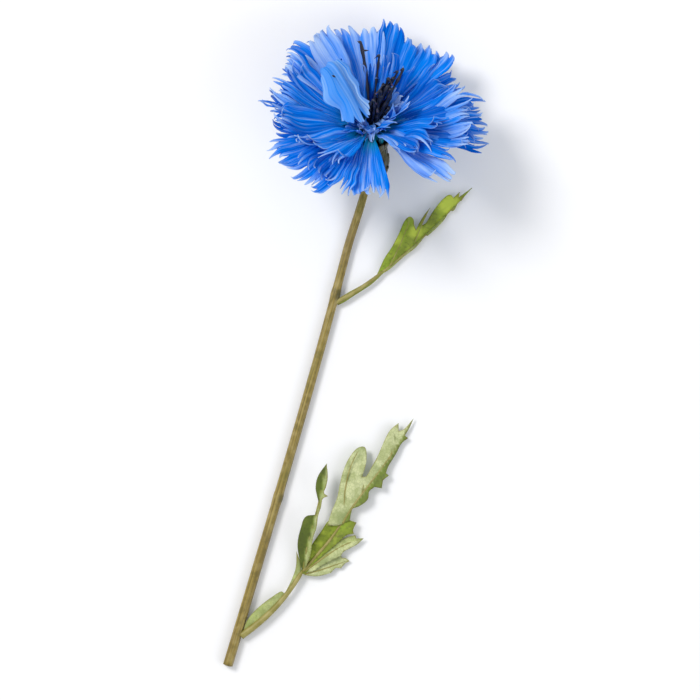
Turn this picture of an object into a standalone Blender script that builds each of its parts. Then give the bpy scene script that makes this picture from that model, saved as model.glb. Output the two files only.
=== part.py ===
"""Cornflower: one double bloom on its picked stem with two lobed leaves, lying on its side.

Units are metres with +Z up. The stem lies along Y with the bloom at the +Y end.
Run with: blender --background --python part.py
"""

import math

import bmesh
import bpy
from mathutils import Euler, Vector
from mathutils.geometry import interpolate_bezier

MM = 0.001
GAP = 0.3 * MM  # clearance where one piece sits against another

# Bloom
MOUTH_HEIGHT = 16.3 * MM  # middle of the involucre's mouth above the ground
BLOOM_PITCH = math.radians(45)  # bloom axis above the ground
BLOOM_LEAN = math.radians(4.4)  # bloom axis away from +Y, to the right
PETAL_THICK = 0.45 * MM
TUBE_WIDTH = 0.9 * MM  # floret width where it leaves the involucre
TUBE_BEND = 4.5 * MM  # length over which the tube turns outwards
BLADE_ROWS = 6  # rows of faces up to where the teeth part
TEETH_ROWS = 2
TEETH_START = 0.78  # share of a floret's length where the teeth part

# name, count, turn of the first, root radius, length, width, rise in degrees, teeth
WHORLS = (
    ("floret_outer", 9, 0, 4.05, 24.4, 13.0, 2, 5),
    ("floret_second", 7, -15, 3.3, 24.6, 13.0, 16, 5),
    ("floret_third", 8, 14, 2.6, 24.0, 12.0, 31, 5),
    ("floret_inner", 7, 0, 1.95, 22.0, 9.5, 49, 4),
    ("floret_disc", 6, 17, 1.4, 13.5, 4.4, 66, 3),
)

# Anthers
ANTHER_COUNT = 6  # around one in the middle
ANTHER_RING = 0.72 * MM
ANTHER_LENGTH = 18 * MM
ANTHER_RADIUS = 0.45 * MM
FILAMENT_RADIUS = 0.2 * MM
ANTHER_STEPS = 8

# Involucre, turned: radius and depth below the mouth
CUP_PROFILE = (
    (0.0, 0.0), (4.3, 0.0), (4.6, 0.4), (4.3, 2.0), (3.9, 3.6), (4.3, 5.6), (4.9, 7.6),
    (5.1, 9.6), (4.7, 11.4), (3.6, 12.9), (2.2, 13.7), (1.4, 14.0), (0.0, 14.0),
)
CUP_DEPTH = 14.0 * MM
CUP_STEPS = 24

# Stem, by its centre line
STEM_BASE = Vector((-34.0, -126.0, 1.4)) * MM
STEM_KNEE = Vector((-5.4, -28.0, 1.3)) * MM
STEM_BASE_RADIUS = 1.4 * MM
STEM_TOP_RADIUS = 1.05 * MM

# Leaves
LEAF_THICK = 0.5 * MM
LEAF_ROWS = 28
LEAF_SLANT = math.radians(55)  # how far the lobes lean towards the tip


def clear_scene():
    for obj in list(bpy.data.objects):
        bpy.data.objects.remove(obj, do_unlink=True)


def make_material(name, colour, roughness):
    """A Principled material with one plain colour."""
    material = bpy.data.materials.new(name)
    material.use_nodes = True
    shader = material.node_tree.nodes["Principled BSDF"]
    shader.inputs["Base Color"].default_value = (*colour, 1)
    shader.inputs["Roughness"].default_value = roughness
    shader.inputs["Metallic"].default_value = 0
    material.diffuse_color = (*colour, 1)
    return material


def add_object(name, data, material, parent):
    obj = bpy.data.objects.new(name, data)
    data.materials.append(material)
    collection.objects.link(obj)
    obj.parent = parent
    return obj


def add_empty(name, parent=None):
    empty = bpy.data.objects.new(name, None)
    empty.empty_display_size = 5 * MM
    collection.objects.link(empty)
    empty.parent = parent
    return empty


def solidify(obj, thickness):
    """Thickens an open sheet evenly to both sides."""
    modifier = obj.modifiers.new("Thickness", "SOLIDIFY")
    modifier.thickness = thickness
    modifier.offset = 0


def smooth(x):
    """Eases from 0 to 1 as x goes from 0 to 1."""
    x = min(max(x, 0), 1)
    return x * x * (3 - 2 * x)


def bent_line(distance, rise, curl):
    """Outward and upward travel along a tube that turns outwards and then curls slowly."""
    steps = 40
    out = up = 0
    for i in range(steps):
        at = (i + 0.5) / steps * distance
        angle = rise + (math.pi / 2 - rise) * (1 - smooth(at / TUBE_BEND)) + curl * at
        out += math.cos(angle) * distance / steps
        up += math.sin(angle) * distance / steps
    return out, up


def floret_mesh(name, root, length, width, rise, teeth, curl, twist):
    """A toothed fan on a narrow tube, as a sheet. X is outwards and Z is along the bloom axis."""
    bm = bmesh.new()
    rows = BLADE_ROWS + TEETH_ROWS
    bmesh.ops.create_grid(bm, x_segments=rows, y_segments=teeth, size=0.5)
    between = [
        edge
        for edge in bm.edges
        if not edge.is_boundary
        and abs(edge.verts[0].co.y - edge.verts[1].co.y) < 1e-4
        and min((v.co.x + 0.5) * rows for v in edge.verts) > BLADE_ROWS - 0.1
    ]
    bmesh.ops.split_edges(bm, edges=between)
    tooth_middle = {v: v.link_faces[0].calc_center_median().y for v in bm.verts}
    for vert, middle in tooth_middle.items():
        row, across = (vert.co.x + 0.5) * rows, vert.co.y
        into_tooth = max(0, row - BLADE_ROWS) / TEETH_ROWS
        share = TEETH_START * min(1, row / BLADE_ROWS) ** 1.5 + (1 - TEETH_START) * into_tooth
        across = middle + (across - middle) * (1 - 0.86 * into_tooth)
        reach = 1 - 0.75 * middle * middle * into_tooth  # the outer teeth are shorter
        wide = TUBE_WIDTH + (width - TUBE_WIDTH) * smooth((share - 0.05) / 1.05)
        out, up = bent_line(share * length * reach, rise, curl)
        side = across * wide
        lift = side * math.sin(twist * share) + 0.45 * across * across * wide
        tilt = rise + curl * length * share
        vert.co = (
            root + out - lift * math.sin(tilt),
            side * math.cos(twist * share),
            up + lift * math.cos(tilt),
        )
    bmesh.ops.recalc_face_normals(bm, faces=bm.faces)
    for face in bm.faces:
        face.smooth = True
    mesh = bpy.data.meshes.new(name)
    bm.to_mesh(mesh)
    bm.free()
    return mesh


def add_florets(bloom, material):
    for whorl, (label, count, turn, root, length, width, rise, teeth) in enumerate(WHORLS):
        for i in range(count):
            name = f"{label}_{i + 1}"
            sway = math.sin(2.4 * i + whorl)
            mesh = floret_mesh(
                name,
                root * MM,
                (length + 0.5 * sway) * MM,
                width * MM,
                math.radians(rise),
                teeth,
                math.radians(0.35 * math.cos(0.9 * i + 5.375 + whorl)) / MM,
                math.radians(7 * math.cos(1.7 * i + 2 * whorl)),
            )
            floret = add_object(name, mesh, material, bloom)
            floret.location.z = GAP
            floret.rotation_euler.z = math.radians(turn + 360 / count * i - 90)
            solidify(floret, PETAL_THICK)


def round_bar(name, points, radii, roundness):
    """A bar along points, as thick as radii say, with closed ends."""
    curve = bpy.data.curves.new(name, "CURVE")
    curve.dimensions = "3D"
    curve.bevel_depth = MM
    curve.bevel_resolution = roundness
    curve.use_fill_caps = True
    spline = curve.splines.new("POLY")
    spline.points.add(len(points) - 1)
    for target, point, radius in zip(spline.points, points, radii):
        target.co = (*point, 1)
        target.radius = radius / MM
    spline.use_smooth = True
    return curve


def anther_line(i):
    """Points and radii of a strand. The first is in the middle; the others lean out and curl."""
    length = ANTHER_LENGTH * (1 + 0.1 * math.sin(2.6 * i))
    if i == 0:
        foot, lean, sweep = 0, 0.05, 0
    else:
        foot, lean, sweep = ANTHER_RING, math.radians(14 + 7 * math.cos(2.1 * i)), 0.6 * MM
    points, radii = [], []
    for k in range(ANTHER_STEPS + 1):
        along = k / ANTHER_STEPS
        travel = length * along
        points.append(
            (foot + travel * math.sin(lean * math.sqrt(along)), sweep * along * along, travel)
        )
        swell = smooth((along - 0.1) / 0.5)
        radii.append(FILAMENT_RADIUS + (ANTHER_RADIUS - FILAMENT_RADIUS) * swell)
    radii[-1] *= 0.45
    return points, radii


def add_anthers(bloom, material):
    for i in range(ANTHER_COUNT + 1):
        name = f"anther_{i + 1}"
        points, radii = anther_line(i)
        strand = add_object(name, round_bar(name, points, radii, 1), material, bloom)
        strand.location.z = GAP
        strand.rotation_euler.z = math.radians(25 + 360 / ANTHER_COUNT * i)


def add_involucre(bloom, material):
    bm = bmesh.new()
    ring = [bm.verts.new((radius * MM, 0, -depth * MM)) for radius, depth in CUP_PROFILE]
    for upper, lower in zip(ring, ring[1:]):
        bm.edges.new((upper, lower))
    mesh = bpy.data.meshes.new("involucre")
    bm.to_mesh(mesh)
    bm.free()
    cup = add_object("involucre", mesh, material, bloom)
    screw = cup.modifiers.new("Turn", "SCREW")
    screw.steps = screw.render_steps = CUP_STEPS
    screw.use_merge_vertices = True
    screw.merge_threshold = 1e-5
    screw.use_smooth_shade = True


def stem_line(axis):
    """Points from the cut end to just under the involucre."""
    top = Vector((0, 0, MOUTH_HEIGHT)) - axis * (CUP_DEPTH + GAP)
    low_way = Vector((0.287, 0.958, 0))
    knee_way = Vector((0.25, 0.968, 0))
    low = interpolate_bezier(
        STEM_BASE, STEM_BASE + low_way * 33 * MM, STEM_KNEE - knee_way * 33 * MM, STEM_KNEE, 14
    )
    high = interpolate_bezier(STEM_KNEE, STEM_KNEE + knee_way * 7 * MM, top - axis * 7 * MM, top, 10)
    return low + high[1:]


def add_stem(root, axis, material):
    points = stem_line(axis)
    last = len(points) - 1
    taper = (STEM_TOP_RADIUS - STEM_BASE_RADIUS) / last
    radii = [STEM_BASE_RADIUS + taper * i for i in range(last + 1)]
    add_object("stem", round_bar("stem", points, radii, 2), material, root)


def lobe_reach(along, wing, lobes):
    """Half width of a leaf at a share of its length, from its wing and its lobes."""
    reach = wing * min(1, 0.3 + 4 * along) * min(1, 12 * (1 - along))
    for middle, spread, length in lobes:
        away = abs(along - middle) / spread
        if away < 1:
            reach = max(reach, length * (1 - away**1.8) ** 0.8)
    return reach * MM


def add_leaf(name, line, wing, left, right, lift_left, lift_right, root, material):
    """A lobed leaf on a midrib line, each half lifted from the ground by its own angle."""
    bm = bmesh.new()
    bmesh.ops.create_grid(bm, x_segments=LEAF_ROWS, y_segments=4, size=0.5)
    for vert in bm.verts:
        row = round((vert.co.x + 0.5) * LEAF_ROWS)
        across = 2 * abs(vert.co.y)
        along = row / LEAF_ROWS
        ahead = (line[min(row + 1, LEAF_ROWS)] - line[max(row - 1, 0)]).normalized()
        aside = ahead.cross(Vector((0, 0, 1))).normalized()
        above = aside.cross(ahead)
        on_left = vert.co.y > 0
        reach = lobe_reach(along, wing, left if on_left else right) * across
        lift = math.radians(lift_left if on_left else lift_right) * smooth(4 * along)
        sideways = aside * math.cos(lift) * (-1 if on_left else 1) + above * math.sin(lift)
        slant = LEAF_SLANT * smooth(3 * along)
        vert.co = line[row] + (sideways * math.cos(slant) + ahead * math.sin(slant)) * reach
    bmesh.ops.recalc_face_normals(bm, faces=bm.faces)
    for face in bm.faces:
        face.smooth = True
    mesh = bpy.data.meshes.new(name)
    bm.to_mesh(mesh)
    bm.free()
    solidify(add_object(name, mesh, material, root), LEAF_THICK)


def add_leaves(root, material):
    upper = interpolate_bezier(
        Vector((-6.3, -38.3, 1.6)) * MM,
        Vector((4.0, -30.0, 1.8)) * MM,
        Vector((15.0, -22.0, 0.6)) * MM,
        Vector((24.0, -12.6, 0.3)) * MM,
        LEAF_ROWS + 1,
    )
    add_leaf(
        "leaf_upper", upper, 1.0,
        ((0.52, 0.12, 8.0), (0.68, 0.06, 7.0), (0.84, 0.12, 5.5)),
        ((0.48, 0.12, 6.5), (0.66, 0.07, 6.5), (0.84, 0.12, 4.5)),
        62, 76, root, material,
    )
    lower = interpolate_bezier(
        Vector((-28.7, -115.4, 1.5)) * MM,
        Vector((-13.5, -104.5, 2.2)) * MM,
        Vector((-6.0, -88.0, 1.6)) * MM,
        Vector((9.8, -69.2, 0.3)) * MM,
        LEAF_ROWS + 1,
    )
    add_leaf(
        "leaf_lower", lower, 1.5,
        ((0.34, 0.06, 24.0), (0.55, 0.11, 20.0), (0.84, 0.14, 6.5)),
        ((0.38, 0.11, 15.0), (0.60, 0.07, 7.5), (0.81, 0.13, 5.5)),
        14, 2, root, material,
    )


def settle(root):
    """Moves the root so that the object's box stands on the ground, centred on the origin."""
    bpy.context.view_layer.update()
    graph = bpy.context.evaluated_depsgraph_get()
    corners = []
    for obj in collection.objects:
        if obj.type == "EMPTY":
            continue
        shape = obj.evaluated_get(graph)
        mesh = shape.to_mesh()
        corners += [shape.matrix_world @ vert.co for vert in mesh.vertices]
        shape.to_mesh_clear()
    low = Vector(min(c[k] for c in corners) for k in range(3))
    high = Vector(max(c[k] for c in corners) for k in range(3))
    root.location = (-(low.x + high.x) / 2, -(low.y + high.y) / 2, -low.z)


clear_scene()
collection = bpy.data.collections.new("Cornflower")
bpy.context.scene.collection.children.link(collection)

petal_blue = make_material("petal_blue", (0.012, 0.147, 0.708), 0.7)
anther_dark = make_material("anther_dark", (0.004, 0.008, 0.028), 0.6)
cup_olive = make_material("cup_olive", (0.105, 0.098, 0.033), 0.4)
stem_olive = make_material("stem_olive", (0.212, 0.188, 0.076), 0.5)
leaf_green = make_material("leaf_green", (0.188, 0.231, 0.042), 0.6)

flower = add_empty("flower")
bloom_head = add_empty("bloom_head", flower)
bloom_head.location.z = MOUTH_HEIGHT
bloom_head.rotation_euler = Euler((BLOOM_PITCH - math.pi / 2, 0, -BLOOM_LEAN))
bloom_axis = bloom_head.rotation_euler.to_matrix() @ Vector((0, 0, 1))

add_florets(bloom_head, petal_blue)
add_anthers(bloom_head, anther_dark)
add_involucre(bloom_head, cup_olive)
add_stem(flower, bloom_axis, stem_olive)
add_leaves(flower, leaf_green)
settle(flower)
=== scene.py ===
"""Finishes a picked cornflower: fringed petals, dark anthers, scaly cup, ribbed stem and lobed leaves.

Units are metres with +Z up. The flower lies on the ground, its stem along Y and its bloom at the +Y end.
"""

import math
import random
from collections import namedtuple

import bmesh
import bpy
from mathutils import Euler, Matrix, Vector, kdtree, noise
from mathutils.geometry import interpolate_bezier


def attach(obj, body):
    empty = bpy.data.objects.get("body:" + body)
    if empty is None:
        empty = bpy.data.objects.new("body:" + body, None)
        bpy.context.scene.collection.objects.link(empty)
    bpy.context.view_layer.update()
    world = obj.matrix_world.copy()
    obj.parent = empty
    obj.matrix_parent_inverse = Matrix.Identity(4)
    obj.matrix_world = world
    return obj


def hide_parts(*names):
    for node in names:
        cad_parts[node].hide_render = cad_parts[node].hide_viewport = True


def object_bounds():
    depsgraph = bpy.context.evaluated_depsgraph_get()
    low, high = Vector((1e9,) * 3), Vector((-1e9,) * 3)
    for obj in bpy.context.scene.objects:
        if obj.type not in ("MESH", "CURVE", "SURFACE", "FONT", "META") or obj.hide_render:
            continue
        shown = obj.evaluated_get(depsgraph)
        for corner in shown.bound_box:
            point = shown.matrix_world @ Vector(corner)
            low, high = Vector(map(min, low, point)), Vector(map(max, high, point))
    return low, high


bl_info = {
    "name": "Cornflower Finish",
    "version": (1, 0, 0),
    "blender": (4, 5, 0),
    "location": "3D View > Sidebar > Cornflower",
    "description": "Builds the petals, anthers, cup, stem and leaves of a picked cornflower",
    "category": "Add Mesh",
}

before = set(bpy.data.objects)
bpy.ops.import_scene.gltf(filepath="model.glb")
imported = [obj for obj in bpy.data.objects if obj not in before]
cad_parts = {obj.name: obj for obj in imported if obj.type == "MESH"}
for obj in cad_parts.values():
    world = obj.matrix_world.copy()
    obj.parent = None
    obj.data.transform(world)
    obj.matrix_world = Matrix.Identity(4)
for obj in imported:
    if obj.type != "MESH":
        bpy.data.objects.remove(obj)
cad_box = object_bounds()

MM = 0.001
UP = Vector((0, 0, 1))

# Where the bloom and the stem lie, as the solids have them
ROOT_SHIFT = Vector((4.849, 50.914, 0)) * MM
MOUTH_HEIGHT = 16.3 * MM  # middle of the cup's mouth above the ground
BLOOM_PITCH = math.radians(45)  # bloom axis above the ground
BLOOM_LEAN = math.radians(4.4)  # bloom axis away from +Y, to the right
CUP_DEPTH = 14 * MM
STEM_BASE = Vector((-34.0, -126.0, 1.4)) * MM
STEM_KNEE = Vector((-5.8, -28.0, 1.3)) * MM
STEM_LEAN = math.radians(16)  # stem away from +Y, to the right
STEM_BASE_RADIUS = 1.16 * MM
STEM_TOP_RADIUS = 0.9 * MM
STEM_RIBS = 7
FIBRE_SIZE = (0.32 * MM, 16 * MM, 0.32 * MM)

# The tube at a floret's foot
TUBE_GIRTH = 2.8 * MM
TUBE_WRAP = math.radians(310)
TUBE_BEND = 4.5 * MM  # length over which it turns outwards

# How the face of a leaf varies
RIPPLE_SIZE = 3.5 * MM
RIPPLE_START = 1.5 * MM  # distance from the main vein at which a ripple is full
BRANCH_GAP = 2.6 * MM  # between its fine side veins
VEIN_REACH = 0.5 * MM
VEIN_LIFT = 0.04 * MM
EDGE_REACH = 0.7 * MM
HALF_BLEND = 0.35 * MM  # width over which one half's look passes into the other's

# How finely the pieces are divided, and how they lie
PETAL_ROWS = 56
ROW_CROWDING = 1.35  # how much closer the rows lie towards a petal's tips
TOOTH_COLUMNS = 5
LINE_STEPS = 80
LEAF_STEP = 0.7 * MM
GROUND_REST = 0.12 * MM  # lowest that a petal or a leaf may lie
GROUND_EASE = 0.5 * MM  # height over which a petal bends flat on the ground

# A ring of florets, with lengths in millimetres and angles in degrees. The florets at the front, at turn 0,
# may be shorter and lie lower than those at the back.
Whorl = namedtuple(
    "Whorl", "label count turn root length width rise teeth cut wrap pleat front_length front_rise"
)
WHORLS = (
    Whorl("outer", 9, 0, 4.05, 24.6, 18.5, 2, 13, 0.76, 40, 0.24, 24.6, 2),
    Whorl("second", 7, -15, 3.3, 25.0, 18.5, 15, 13, 0.74, 50, 0.25, 23.6, 12),
    Whorl("third", 8, 14, 2.6, 25.2, 16.0, 30, 12, 0.72, 60, 0.24, 17.5, 16),
    Whorl("inner", 7, 0, 1.95, 20.5, 9.5, 50, 8, 0.68, 90, 0.2, 8.5, 50),
    Whorl("disc", 6, 17, 1.4, 12.5, 5.5, 64, 6, 0.62, 120, 0.14, 6.5, 60),
)

# The fringe of a floret: flaps that part first, each cut again into teeth. Each side parts at a row.
Flap = namedtuple("Flap", "middle half left_start right_start reach lean bend slim")
Tooth = namedtuple(
    "Tooth", "flap middle left_start right_start reach lean bend blunt fold left_fold right_fold tone"
)

# How one floret is bent. Its line has the outward travel, upward travel and slope of its middle.
Form = namedtuple("Form", "line length width wrap twist sway tone paleness roundness ripple seed")

# What sets a floret apart from its ring. Length, width and pleat are factors, and angles are in degrees.
# Cut, curl_from and curl_over are shares of its length, and round and ripple shape its edge. Sway, in
# millimetres, swings its end to one side.
# Tones given here make some florets darker, as painted shade, and others lighter, as painted light.
OWN_WAYS = {
    "outer_1": dict(width=0.5, turn=-2, teeth=8, tone=0.3, length=0.97),
    "outer_2": dict(width=0.38, wrap=50, teeth=5, twist=8, length=0.98, turn=10, tone=1.0),
    "outer_3": dict(width=0.8, turn=13),
    "outer_5": dict(teeth=9, cut=0.82, turn=9),
    "outer_6": dict(teeth=9, cut=0.8),
    "outer_8": dict(length=0.93),
    "outer_9": dict(width=1.05, turn=-2, length=0.94),
    "second_1": dict(width=0.85, turn=-12, length=0.97, tip_curl=0),
    "second_2": dict(turn=32, width=0.8, tone=-0.6, tip_curl=0, wrap=24, twist=0),
    "second_4": dict(teeth=9, cut=0.82, turn=12, width=1.1),
    "second_5": dict(tone=0.9, teeth=8, cut=0.84),
    "third_1": dict(
        turn=34, length=0.85, rise=22, width=0.55, teeth=6, cut=0.6, wrap=16, tip_curl=0, twist=0
    ),
    "third_2": dict(tone=-0.5),
    "third_3": dict(tone=-0.7),
    "third_4": dict(teeth=9, cut=0.82, turn=12, length=1.03),
    "third_5": dict(tone=0.8, teeth=8, cut=0.84),
    "third_6": dict(length=1.04, rise=30, tone=0.8, turn=-8, teeth=8, cut=0.82),
    "third_7": dict(length=1.14, rise=14, width=1.3, turn=-10, teeth=17, tone=-0.3),
    "third_8": dict(rise=12, length=1.1),
    "inner_3": dict(tone=0.9, length=0.8),
    "inner_5": dict(  # folded over the middle
        turn=31, rise=46, length=1.98, width=1.15, teeth=9, cut=0.96, wrap=60, tone=-0.9, tip_curl=172,
        curl_from=0.455, curl_over=0.17, round=0.12, twist=0, pleat=0.6, ripple=0.5, sway=4.8,
    ),
    "inner_6": dict(rise=24, length=0.5),
    "inner_7": dict(rise=30, length=0.8),
    "disc_1": dict(turn=-40, rise=15, length=0.9, width=1.1, tone=1.4),
    "disc_2": dict(turn=-38, rise=74, length=0.85, width=1.3, tone=0.9, tip_curl=-60),
    "disc_3": dict(turn=-20, rise=62, length=1.0, width=1.3, tone=0.8, tip_curl=-50),
    "disc_4": dict(turn=-7, rise=72, length=1.36, width=1.0, tone=-0.9, wrap=60),
    "disc_5": dict(rise=10, length=0.45),
}

# Bundles of anthers: the tip of each from the middle of the cup's mouth along the bloom's own axes and how
# far its strands spread, in millimetres, with their number between
ANTHERS = (
    ((2.0, 1.8, 14.0), 7, 1.4),
    ((0.6, 5.9, 19.5), 1, 0.0),
    ((-3.6, 9.0, 19.5), 2, 0.4),
    ((-11.2, 3.4, 16.4), 2, 0.3),
    ((0.8, 0.2, 11.5), 5, 1.0),
    ((3.8, 1.8, 15.0), 7, 1.5),
    ((5.9, 4.6, 17.5), 2, 0.5),
)


def linear(red, green, blue):
    """A screen colour, each part from 0 to 255, as Blender's linear colour."""
    parts = (red / 255, green / 255, blue / 255)
    return tuple(p / 12.92 if p <= 0.04045 else ((p + 0.055) / 1.055) ** 2.4 for p in parts)


class BloomSettings(bpy.types.PropertyGroup):
    """Sizes and colours of the petals and anthers"""

    petal_thickness: bpy.props.FloatProperty(
        name="Petal thickness", description="Thickness of a petal", default=0.13 * MM, min=0, unit="LENGTH"
    )
    wave: bpy.props.FloatProperty(
        name="Wave", description="Height of the slow waves in a petal", default=0.9 * MM, min=0,
        unit="LENGTH",
    )
    throat_colour: bpy.props.FloatVectorProperty(
        name="Throat", description="Colour where a petal opens", subtype="COLOR", size=3,
        default=linear(0, 142, 168),
    )
    petal_colour: bpy.props.FloatVectorProperty(
        name="Petal", description="Colour of a petal's face", subtype="COLOR", size=3,
        default=linear(2, 138, 246),
    )
    # Painted shade, in a petal's folds and on its shaded florets
    fold_shade_colour: bpy.props.FloatVectorProperty(
        name="Fold", description="Colour in a petal's folds", subtype="COLOR", size=3,
        default=linear(0, 82, 196),
    )
    # Partly painted light, shining through a petal's thin tips
    tip_colour: bpy.props.FloatVectorProperty(
        name="Tip", description="Colour of a petal's tips", subtype="COLOR", size=3,
        default=linear(192, 218, 252),
    )
    back_colour: bpy.props.FloatVectorProperty(
        name="Back", description="Colour of a petal's back", subtype="COLOR", size=3,
        default=linear(150, 198, 252),
    )
    anther_colour: bpy.props.FloatVectorProperty(
        name="Anthers", description="Colour of the anthers", subtype="COLOR", size=3,
        default=linear(10, 16, 40),
    )


class GreenSettings(bpy.types.PropertyGroup):
    """Sizes and colours of the cup, stem and leaves"""

    # Its default, a dark olive, is darkened partly as painted shade from the petals over the cup
    cup_colour: bpy.props.FloatVectorProperty(
        name="Cup", description="Colour of the cup's scales", subtype="COLOR", size=3,
        default=linear(64, 61, 27),
    )
    stem_colour: bpy.props.FloatVectorProperty(
        name="Stem", description="Colour of the stem's ribs", subtype="COLOR", size=3,
        default=linear(148, 128, 60),
    )
    # Painted shade in the grooves between the stem's ribs
    stem_groove_shade: bpy.props.FloatVectorProperty(
        name="Stem groove", description="Colour between the stem's ribs", subtype="COLOR", size=3,
        default=linear(112, 96, 42),
    )
    groove_depth: bpy.props.FloatProperty(
        name="Groove depth", description="Depth between the stem's ribs", default=0.05 * MM, min=0,
        unit="LENGTH",
    )
    leaf_colour: bpy.props.FloatVectorProperty(
        name="Leaf", description="Colour of a leaf's upper face", subtype="COLOR", size=3,
        default=linear(126, 142, 44),
    )
    underside_colour: bpy.props.FloatVectorProperty(
        name="Underside", description="Colour of a leaf's underside", subtype="COLOR", size=3,
        default=linear(190, 198, 140),
    )
    vein_colour: bpy.props.FloatVectorProperty(
        name="Vein", description="Colour of a leaf's main veins", subtype="COLOR", size=3,
        default=linear(132, 124, 52),
    )
    leaf_thickness: bpy.props.FloatProperty(
        name="Leaf thickness", description="Thickness of a leaf", default=0.22 * MM, min=0, unit="LENGTH"
    )


class StageSettings(bpy.types.PropertyGroup):
    """Floor, light and camera"""

    floor_colour: bpy.props.FloatVectorProperty(
        name="Floor", description="Colour of the floor", subtype="COLOR", size=3,
        default=linear(240, 240, 242),
    )
    key_power: bpy.props.FloatProperty(
        name="Key light", description="Power of the main light", default=11.5, min=0, subtype="POWER"
    )
    camera_height: bpy.props.FloatProperty(
        name="Camera height", description="Height of the camera above the floor", default=1.5, min=0.5,
        unit="LENGTH",
    )


def smooth(x):
    """Eases from 0 to 1 as x goes from 0 to 1."""
    x = min(max(x, 0), 1)
    return x * x * (3 - 2 * x)


def blend(a, b, share):
    """From one value to another by a share."""
    return a + (b - a) * share


def between(table, at):
    """The value at a place in a table of (place, value) pairs."""
    for (start, low), (end, high) in zip(table, table[1:]):
        if at <= end:
            return blend(low, high, (at - start) / (end - start))
    return table[-1][1]


# Materials

# Colours within the finishes, beside those that a user may change
ANTHER_SHEEN = linear(44, 34, 84)
ANTHER_FOOT = linear(40, 60, 130)
POLLEN = linear(84, 62, 96)
SCALE_SHADE = linear(50, 52, 24)
# Painted shade at the foot of each scale, where the scale below leans over it
SCALE_FOOT_SHADE = linear(26, 30, 16)
SCALE_MARGIN = linear(48, 32, 16)
FIBRE_PALE, FIBRE_DARK = linear(182, 166, 108), linear(98, 86, 46)
MOTTLE_PALE, MOTTLE_DARK = linear(172, 156, 104), linear(98, 88, 40)
STEM_BROWN, STEM_OLIVE = linear(122, 104, 62), linear(112, 112, 44)
KNOT_SHADE = linear(60, 62, 34)
PITH_DARK, PITH_PALE = linear(176, 172, 120), linear(226, 222, 184)
LEAF_LIGHT, LEAF_SPOT, LEAF_GRAIN = linear(148, 172, 50), linear(180, 196, 66), linear(96, 108, 42)
# The second is a painted highlight
LEAF_VEIN, LEAF_PAINTED_HIGHLIGHT = linear(158, 164, 78), linear(204, 220, 84)
LEAF_BROWN, LEAF_SHADE = linear(150, 136, 62), linear(54, 66, 36)
UNDER_PALE, UNDER_DARK = linear(222, 226, 176), linear(146, 160, 104)
UNDER_NET, UNDER_VEIN = linear(138, 152, 92), linear(116, 124, 62)
STALK_PALE = linear(158, 148, 84)


def new_material(name, levels):
    """A material with only a Principled shader, whose levels are set, and its node tree."""
    material = bpy.data.materials.new(name)
    material.use_nodes = True
    for level, value in levels.items():
        material.node_tree.nodes["Principled BSDF"].inputs[level].default_value = value
    return material, material.node_tree


def add_node(tree, kind, inputs, output=0, **settings):
    """Adds a node, sets or links its inputs, and returns one output."""
    node = tree.nodes.new(kind)
    for key, value in settings.items():
        setattr(node, key, value)
    for key, value in inputs.items():
        if isinstance(value, bpy.types.NodeSocket):
            tree.links.new(value, node.inputs[key])
        else:
            node.inputs[key].default_value = value
    return node.outputs[output]


def attribute(tree, name):
    """One of the numbers that a piece's points carry."""
    return add_node(tree, "ShaderNodeAttribute", {}, "Fac", attribute_name=name)


def scaled_sum(tree, value, factor, added):
    """A value times a factor, plus another value."""
    return add_node(tree, "ShaderNodeMath", {0: value, 1: factor, 2: added}, operation="MULTIPLY_ADD")


def mix(tree, factor, first, second):
    """Two colours mixed."""
    colours = [c if isinstance(c, bpy.types.NodeSocket) else (*c, 1) for c in (first, second)]
    return add_node(
        tree, "ShaderNodeMix", {0: factor, 6: colours[0], 7: colours[1]}, 2, data_type="RGBA"
    )


def rescale(tree, value, low, high, new_low=0.0, new_high=1.0):
    """A value eased from one range to another, with its ends kept."""
    return add_node(
        tree, "ShaderNodeMapRange", {0: value, 1: low, 2: high, 3: new_low, 4: new_high},
        interpolation_type="SMOOTHSTEP",
    )


def tint(tree, colour, *steps):
    """A colour brought towards others. Each step has a value, its range, a colour and how far to go."""
    for value, low, high, towards, most in steps:
        colour = mix(tree, rescale(tree, value, low, high, 0, most), colour, towards)
    return colour


def streaks(tree, scale, detail=2.0):
    """Noise drawn out by a scale along the piece's own UV map."""
    place = add_node(tree, "ShaderNodeUVMap", {}, uv_map="fibres")
    stretched = add_node(tree, "ShaderNodeMapping", {"Vector": place, "Scale": scale})
    return add_node(tree, "ShaderNodeTexNoise", {"Vector": stretched, "Scale": 1.0, "Detail": detail})


def speckle(tree, scale, detail=3.0):
    """Noise on the piece's own coordinates."""
    place = add_node(tree, "ShaderNodeTexCoord", {}, "Object")
    return add_node(tree, "ShaderNodeTexNoise", {"Vector": place, "Scale": scale, "Detail": detail})


def set_surface(tree, colour, height, strength, distance, through=0):
    """Gives a material its colour, its relief and the share of light that passes through it."""
    shader = tree.nodes["Principled BSDF"]
    tree.links.new(colour, shader.inputs["Base Color"])
    relief = {"Height": height, "Strength": strength, "Distance": distance}
    tree.links.new(add_node(tree, "ShaderNodeBump", relief), shader.inputs["Normal"])
    if through:
        passing = add_node(tree, "ShaderNodeBsdfTranslucent", {"Color": colour})
        both = add_node(tree, "ShaderNodeMixShader", {0: through, 1: shader.outputs[0], 2: passing})
        tree.links.new(both, tree.nodes["Material Output"].inputs["Surface"])


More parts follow.
